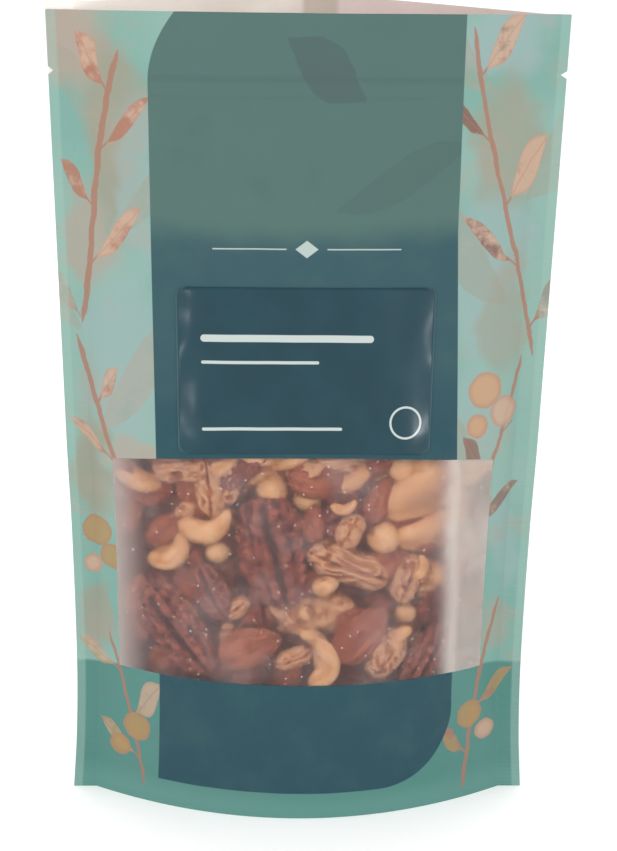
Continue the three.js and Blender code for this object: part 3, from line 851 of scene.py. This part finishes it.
# A kernel lies along X, its width along Y and its best side towards Z; sizes in millimetres.
kernelKinds = {
    "almond": {"length": 21, "width": 12.5, "thick": 8, "bend": 0},
    "cashew": {"length": 27, "width": 10.5, "thick": 9.5, "bend": 2.5},
    "walnut": {"length": 25, "width": 19, "thick": 12, "bend": 0.3},
    "pecan": {"length": 34, "width": 17, "thick": 8.5, "bend": 0.12},
    "brazil": {"length": 31, "width": 16, "thick": 14, "bend": 0.45},
    "round": {"length": 11, "width": 11, "thick": 10, "bend": 0},
}


def noiseField(points, scale, seed):
    return np.array([noise.noise((x * scale + seed, y * scale, z * scale)) for x, y, z in points])


def almondForm(t, c, s, points, seed):
    size = ((1 + t) / 2) ** 0.5 * ((1 - t) / 2) ** 0.72 * 2.36
    wrinkles = noiseField(np.stack((t * 0.7, c * 3.6, s * 3.6), 1), 1.6, seed)
    dent = 0.5 + wrinkles
    waves = 0.025 * noiseField(points, 1.0, seed + 5)
    return size * (1 + 0.035 * wrinkles + waves), dent


def cashewForm(t, c, s, points, seed):
    size = np.maximum(0, 1 - t * t) ** 0.34 * (0.98 - 0.16 * t)
    crease = np.exp(-((c - 1) / 0.12) ** 2) * np.exp(-(t / 0.5) ** 2)
    waves = noiseField(points, 1.5, seed)
    return size * (1 - 0.10 * crease + 0.06 * waves), 0.5 + 0.8 * waves - 0.5 * crease


def walnutForm(t, c, s, points, seed):
    size = np.maximum(0, 1 - t * t) ** 0.40
    warp = 0.35 * np.stack([noiseField(points, 1.7, seed + k) for k in (11, 23, 37)], 1)
    folds = 1 - 2.6 * np.abs(noiseField(points + warp, 2.3, seed))
    fine = 1 - 2 * np.abs(noiseField(points + warp, 5.0, seed + 50))
    groove = np.exp(-(c / 0.12) ** 2) * (s > -0.3)
    lobes = 0.09 * np.sin(5 * t + seed) * np.abs(c)
    relief = 1 + 0.17 * folds + 0.035 * fine - 0.22 * groove + lobes
    relief += 0.03 * noiseField(points, 9.0, seed + 70)
    return size * relief * 0.92, 0.5 + 0.55 * folds + 0.12 * fine - 0.5 * groove


def pecanForm(t, c, s, points, seed):
    size = np.maximum(0, 1 - np.abs(t + 0.06) ** 2.5) ** 0.46 * (1 - 0.10 * t)
    top = smooth(s, -0.1, 0.35)
    sway = 0.05 * np.sin(2.6 * t + seed)
    groove = np.exp(-((c - sway) / 0.13) ** 2) * top * smooth(1 - np.abs(t), 0.0, 0.2)
    second = np.exp(-((np.abs(c - sway) - 0.60) / 0.09) ** 2) * top
    third = np.exp(-((np.abs(c - sway) - 0.93) / 0.06) ** 2)
    cross = noiseField(np.stack((t * 5.2 + np.abs(c) * 1.6, c * 1.5, s * 1.5), 1), 1.5, seed)
    crumple = 1 - 2.2 * np.abs(noiseField(points, 4.6, seed + 9))
    fine = 1 - 2.2 * np.abs(noiseField(points, 9.5, seed + 60))
    under = np.exp(-(c / 0.3) ** 2) * (s < -0.2) * 0.12
    relief = 1 - 0.42 * groove - 0.15 * second - 0.10 * third + 0.15 * cross + 0.09 * crumple + under
    ribs = np.sin(27 * t + 5 * np.abs(c) + 5 * cross + seed) * np.sqrt(np.abs(c))
    relief += 0.035 * fine + 0.05 * ribs
    return size * relief, 0.5 + 0.4 * cross + 0.3 * crumple + 0.3 * ribs - 0.95 * groove - 0.4 * second


def brazilForm(t, c, s, points, seed):
    size = np.maximum(0, 1 - t * t) ** 0.42
    angle = np.arctan2(s, c)
    waves = noiseField(points, 1.2, seed)
    return size * (1 - 0.12 * np.cos(3 * angle) + 0.07 * waves), 0.5 + 0.5 * waves - 0.25 * np.cos(3 * angle)


def roundForm(t, c, s, points, seed):
    size = np.sqrt(np.maximum(0, 1 - t * t)) * (1 - 0.12 * t)
    waves = noiseField(points, 1.6, seed)
    return size * (1 + 0.03 * waves), 0.5 + 0.6 * waves + 0.4 * smooth(t, 0.75, 1.0)


kernelForms = {"almond": almondForm, "cashew": cashewForm, "walnut": walnutForm, "pecan": pecanForm,
               "brazil": brazilForm, "round": roundForm}


def kernelPoints(kind, sphere, seed):
    k = kernelKinds[kind]
    t = sphere[:, 2]
    ring = np.maximum(1e-6, np.hypot(sphere[:, 0], sphere[:, 1]))
    c, s = sphere[:, 0] / ring, sphere[:, 1] / ring
    size, dent = kernelForms[kind](t, c, s, sphere, seed)
    x, y, z = t * k["length"] / 2, c * size * k["width"] / 2, s * size * k["thick"] / 2
    if k["bend"]:
        radius = k["length"] / k["bend"]
        turn = x / radius
        sag = radius * (1 - math.cos(k["bend"] / 2)) * 0.5
        x, y = (radius - y) * np.sin(turn), radius - (radius - y) * np.cos(turn) - sag
    return np.stack((x, y, z), 1), np.clip(dent, 0, 1)


# Kernels that show best behind the window: kind, across, height, turn in degrees, scale, depth behind
# the film, width against its usual one
windowKernels = (
    ("pecan", -9.5, 88, -76, 1.12, 0, 1.05), ("pecan", -42, 60.5, -50, 1.05, 0, 0.95),
    ("almond", -18, 58, 20, 1.05, 0, 1), ("cashew", 6.5, 53, 82, 0.72, 0, 1.05),
    ("almond", 21, 62.5, 48, 1.14, 0.3, 1), ("almond", 5.2, 112.2, -8, 0.95, 0.6, 1.05),
    ("walnut", -32, 110, 96, 0.85, 0.5, 0.6), ("walnut", -24.5, 111, 80, 0.55, 1.5, 0.6),
    ("brazil", 40.5, 109.5, 36, 0.98, 1, 1), ("brazil", 45, 95, 12, 0.85, 3, 1),
    ("walnut", 15.5, 84.5, -20, 1.12, 0.2, 0.55), ("cashew", -33, 98, 14, 0.72, 2, 1.1),
    ("cashew", -46, 87.5, 40, 0.66, 3, 1.1), ("walnut", 36, 79.5, 72, 0.66, 1.5, 0.7),
    ("cashew", 40.5, 84, 70, 0.34, 0.6, 1.1), ("walnut", 29.5, 55, 60, 0.72, 0.6, 0.85),
    ("cashew", 35, 60, 240, 0.42, 0.4, 1), ("pecan", 45, 52.5, 58, 0.74, 0.6, 1),
    ("round", -16.7, 114, 0, 1, 5, 1), ("round", -10.5, 107.5, 30, 0.9, 3, 1),
    ("round", 33.7, 115.5, 60, 0.85, 2, 1), ("round", 28, 93, 80, 0.95, 2.6, 1),
    ("almond", 26, 105.5, 68, 0.78, 2.4, 0.85), ("pecan", -31, 75, -60, 0.6, 2.5, 1),
    ("round", 8, 78.7, 20, 0.82, 0.4, 0.7), ("round", 1.6, 69.6, 10, 0.5, 2.4, 1),
    ("almond", 3.8, 98, 85, 0.62, 3.5, 1), ("almond", -54, 106, 10, 1, 4, 1),
    ("almond", -60, 97, 40, 0.7, 1.5, 1), ("almond", 59, 85, 70, 0.85, 2, 1),
    ("almond", -58, 70, 75, 0.8, 3, 1), ("walnut", 16, 96, 60, 0.48, 2, 0.9),
    ("round", 47.4, 79, 0, 0.66, 3, 1), ("cashew", 14, 104.6, 10, 0.35, 1, 1),
    ("walnut", -3, 54, 20, 0.5, 3.5, 0.7), ("round", 8, 68, 0, 0.95, 5.5, 1),
    ("walnut", -23, 70, 40, 0.4, 4.5, 0.8), ("pecan", -14, 71, 100, 0.5, 7, 1),
)
# Places where the filling kernels are left out, so that the core's painted shade shows: across, height,
# radius
darkGaps = ((-20, 78, 9), (-26, 66, 6), (-50, 113, 9), (0, 61, 6), (20, 73, 6), (9, 99, 5), (-12, 62, 5))
# The heap: its top, how far its core stays behind the front film, the core's half width and lumps,
# its share of the depth behind it, how far across kernels may lie, and their gaps to the films
nutHeap = {"fill": 117.0, "inset": 9.0, "coreHalf": 63.0, "lumps": 1.5, "rearShare": 0.85,
           "reach": 70.5, "frontGap": 0.1, "backGap": 0.7, "gussetGap": 1.2}


def acrossOf(x, height):
    return x * 80 / alongHeight(pouchForm["halfWidth"], height)


# Points slid front to back into the pouch, or None where they find no room
def fitBetweenFilms(points, behind):
    x, y, z = points.T
    across = acrossOf(x, z)
    if np.abs(across).max() > nutHeap["reach"] or (z - gussetFold(across)).min() < nutHeap["gussetGap"]:
        return None
    front = frontDepth(across, z) + reliefAt(frontRelief, across, z)
    least = (nutHeap["frontGap"] - front - y).max()
    most = (backDepth(across, z) - nutHeap["backGap"] - y).min()
    if least > most:
        return None
    return points + (0, min(max(0 if behind is None else least + behind, least), most), 0)


class NutStore:  # the kernels of each kind, copied from one sphere and shaped one by one
    def __init__(self):
        self.spheres = {"fine": self.sphere(64, 48), "plain": self.sphere(34, 24)}
        self.made = {kind: [] for kind in kernelKinds}

    def sphere(self, segments, rings):
        deselect()
        bpy.ops.mesh.primitive_uv_sphere_add(segments=segments, ring_count=rings, radius=1)
        return bpy.context.object

    def add(self, kind, scale, turn, place, behind, seed, detail="plain", width=1):
        sphere = self.spheres[detail]
        shape, dent = kernelPoints(kind, readPoints(sphere), seed)
        shape *= (scale, scale * width, scale)
        points = fitBetweenFilms(shape @ np.array(turn).T + place, behind)
        if points is None:
            return
        nut = sphere.copy()
        nut.data = sphere.data.copy()
        scene.collection.objects.link(nut)
        writePoints(nut, points * mm)
        tone = random.random()
        for name, values in (("dent", dent), ("tone", np.full(len(dent), tone))):
            attribute = nut.data.attributes.new(name, "FLOAT", "POINT")
            attribute.data.foreach_set("value", np.ascontiguousarray(values, dtype=np.float32))
        self.made[kind].append(nut)

    def join(self, kind):
        deselect()
        for nut in self.made[kind]:
            nut.select_set(True)
        whole = bpy.context.view_layer.objects.active = self.made[kind][0]
        bpy.ops.object.join()
        whole.name = whole.data.name = kind + "_kernels"
        return whole

    def clear(self):
        deselect()
        for sphere in self.spheres.values():
            sphere.select_set(True)
        bpy.ops.object.delete()


# Turn of a kernel whose best side lies against the front film
def facingWindow(across, height, turn, leanX, leanZ):
    aside, upward = np.array((0, 1, 0)), np.array((0, 0, 1))
    here, beside, above = frontPlace(across + aside, height + upward, 0)
    side, up = Vector(beside - here).normalized(), Vector(above - here).normalized()
    facing = side.cross(up).normalized()
    flat = Matrix((side, facing.cross(side), facing)).transposed()
    return Euler((leanX, 0, leanZ)).to_matrix() @ flat @ Matrix.Rotation(turn, 3, "Z")


def fillPouch(store):
    random.seed(4177)
    kinds = ("almond", "cashew", "walnut", "pecan", "brazil", "round")
    for height in np.linspace(48, 116, 8):
        for across in np.linspace(-62, 62, 12):
            kind = random.choices(kinds, (5, 1, 3, 6, 0, 1))[0]
            a, h = across + random.uniform(-4, 4), height + random.uniform(-4, 4)
            if any(math.hypot(a - x, h - z) < reach for x, z, reach in darkGaps):
                continue
            lean = random.uniform(-0.5, 0.5), random.uniform(-0.5, 0.5)
            turn = facingWindow(a, h, random.uniform(0, math.pi), *lean)
            place = (float(filmX(a, h)), 0, h)
            store.add(kind, random.uniform(0.6, 0.85), turn, place, random.uniform(4, 8.5),
                      random.random() * 90)
    for kind, across, height, turn, scale, behind, width in windowKernels:
        turned = facingWindow(across, height, math.radians(turn), random.uniform(-0.05, 0.05), 0)
        place = (float(filmX(across, height)), 0, height)
        store.add(kind, scale, turned, place, behind, random.random() * 90, "fine", width)
    for layer in range(2):
        for x in np.linspace(-56, 56, 9):
            for y in (-7, 1, 9, 15):
                kind = random.choices(kinds, (4, 3, 3, 3, 1, 3))[0]
                turn = Euler([random.uniform(-0.7, 0.7) for k in range(3)]).to_matrix()
                level = nutHeap["fill"] - 3 + 4 * layer
                place = (x + random.uniform(-4, 4), y, level + random.uniform(-2, 3))
                store.add(kind, random.uniform(0.62, 0.9), turn, place, None, random.random() * 90)


# A dark lumpy sheet behind the kernels: painted shade of the gaps between packed nuts
def heapCore():
    def place(u, v):
        across = (u * 2 - 1) * nutHeap["coreHalf"]
        bottom = gussetFold(across) + 1.6
        rounding = np.sqrt(np.maximum(0, 1 - ((v - 0.5) * 2) ** 8))
        z = bottom + (nutHeap["fill"] - 4 - 3 * np.abs(across) / 64 - bottom) * v
        lumps = np.array([noise.noise((a / 6, h / 6, 2.5)) for a, h in zip(across, z)])
        depth = np.maximum(frontDepth(across, z) - nutHeap["inset"], 0.1 * frontDepth(across, z))
        y = -depth * rounding - nutHeap["lumps"] * lumps
        return np.stack((filmX(across, z), y, z), 1) * mm

    core = addSheet("heap_core", 126, 110, place)
    solidify = core.modifiers.new("depth", "SOLIDIFY")
    solidify.thickness, solidify.offset = 1 * mm, -1
    bpy.ops.object.modifier_apply(modifier=solidify.name)
    points = readPoints(core) / mm
    rear = points[len(points) // 2:]
    rear[:, [0, 2]] = points[:len(points) // 2, [0, 2]]
    rear[:, 1] = nutHeap["rearShare"] * backDepth(acrossOf(rear[:, 0], rear[:, 2]), rear[:, 2])
    writePoints(core, points * mm)
    # Dark browns: painted shade
    shade = Finish("packedNutsInShade", Roughness=0.75)
    where = shade.objectPlace()
    cloud = shade.noise(where, 150.0, 4.0, 0.6)
    colour = shade.blend(shade.step(cloud, 0.35, 0.7), paint(58, 32, 34), paint(126, 78, 56))
    shade.set(shade.shader, {"Base_Color": colour, "Normal": shade.bump(cloud, 0.003)})
    dress(core, (shade.material,), ("nut_mix",))


def nutFinish(kind):
    nut = Finish(kind + "Nut", Specular_IOR_Level=0.35)
    where = nut.objectPlace()
    tone = nut.node("Attribute", {"attribute_name": "tone"}, out=2)
    dent = nut.node("Attribute", {"attribute_name": "dent"}, out=2)
    n = {key: paint(*value) if isinstance(value, tuple) else value
         for key, value in nutColours[kind].items()}
    mottle = nut.noise(where, n["grain"], 4.0, 0.62)
    fine = nut.noise(where, n["grain"] * 6, 3.0, 0.6)
    body = nut.blend(nut.step(mottle, 0.3, 0.7), n["deep"], n["light"])
    body = nut.blend(tone * 0.5, body, n["warm"])
    # Lighter on the raised parts: pale crumbs and a painted highlight
    body = nut.blend(nut.step(dent, 0.55, 0.95) * n["ridgeCrumbAndHighlightShare"], body, n["ridge"])
    # Darker in the dents and creases: painted shade
    body = nut.blend((1 - nut.step(dent, 0.05, 0.5)) * n["creaseShadeShare"], body, n["crease"])
    body = nut.blend(nut.step(fine, 0.52, 0.7) * n["flecks"], body, n["ridge"])
    height = fine + mottle
    if kind == "almond":
        uv = nut.node("UVMap", {"uv_map": "UVMap"})
        stretched = nut.node("VectorMath", {"operation": "MULTIPLY"}, uv, (70.0, 5.0, 1.0))
        streak = nut.noise(stretched, 1.0, 2.0, 0.5)
        body = nut.blend(nut.step(streak, 0.5, 0.75) * 0.55, body, n["crease"])
        height = streak
    if kind in ("brazil", "round"):
        patch = nut.step(nut.noise(where, n["grain"] * 0.6, 3.0, 0.6), 0.6, 0.66)
        body = nut.blend(patch * 0.8, body, n["crease"])
    nut.set(nut.shader, {"Base_Color": body, "Roughness": n["rough"] + 0.2 * fine,
                         "Normal": nut.bump(height, n["bump"])})
    return nut.material


nutColours = {
    "almond": {"deep": (152, 86, 60), "light": (188, 116, 82), "warm": (156, 80, 64),
               "ridge": (204, 146, 104), "crease": (112, 60, 42), "ridgeCrumbAndHighlightShare": 0.35,
               "creaseShadeShare": 0.4, "grain": 130.0, "rough": 0.55, "flecks": 0.15, "bump": 0.0005},
    "cashew": {"deep": (222, 172, 112), "light": (240, 204, 150), "warm": (232, 186, 122),
               "ridge": (248, 222, 176), "crease": (196, 142, 86), "ridgeCrumbAndHighlightShare": 0.5,
               "creaseShadeShare": 0.5, "grain": 120.0, "rough": 0.42, "flecks": 0.1, "bump": 0.0002},
    "walnut": {"deep": (168, 106, 64), "light": (208, 150, 98), "warm": (180, 116, 68),
               "ridge": (240, 206, 160), "crease": (102, 58, 38), "ridgeCrumbAndHighlightShare": 0.65,
               "creaseShadeShare": 0.85, "grain": 220.0, "rough": 0.5, "flecks": 0.4, "bump": 0.0005},
    "pecan": {"deep": (112, 58, 46), "light": (156, 92, 74), "warm": (124, 60, 50),
              "ridge": (192, 124, 100), "crease": (44, 18, 18), "ridgeCrumbAndHighlightShare": 0.55,
              "creaseShadeShare": 0.9, "grain": 260.0, "rough": 0.42, "flecks": 0.35, "bump": 0.0005},
    "brazil": {"deep": (222, 176, 120), "light": (240, 206, 154), "warm": (226, 178, 122),
               "ridge": (246, 220, 176), "crease": (142, 88, 56), "ridgeCrumbAndHighlightShare": 0.4,
               "creaseShadeShare": 0.45, "grain": 110.0, "rough": 0.45, "flecks": 0.15, "bump": 0.0003},
    "round": {"deep": (226, 180, 122), "light": (244, 214, 164), "warm": (230, 184, 122),
              "ridge": (246, 222, 178), "crease": (160, 104, 66), "ridgeCrumbAndHighlightShare": 0.4,
              "creaseShadeShare": 0.3, "grain": 160.0, "rough": 0.48, "flecks": 0.15, "bump": 0.0003},
}


nutStore = NutStore()
fillPouch(nutStore)
print("kernels made:", {kind: len(made) for kind, made in nutStore.made.items()})
heapCore()
for nutKind in kernelKinds:
    dress(nutStore.join(nutKind), (nutFinish(nutKind),), angle=60)
nutStore.clear()
print("nuts made")


floorSize = 12  # metres


def layFloor():
    deselect()
    bpy.ops.mesh.primitive_grid_add(x_subdivisions=8, y_subdivisions=8, size=floorSize)
    floor = bpy.context.object
    floor.name = "floor"
    paleFloor = Finish("paleFloor", Base_Color=(0.97, 0.97, 0.97, 1), Roughness=0.9,
                       Emission_Color=(1, 1, 1, 1), Emission_Strength=0.12)
    floor.data.materials.append(paleFloor.material)


layFloor()
print("floor laid")
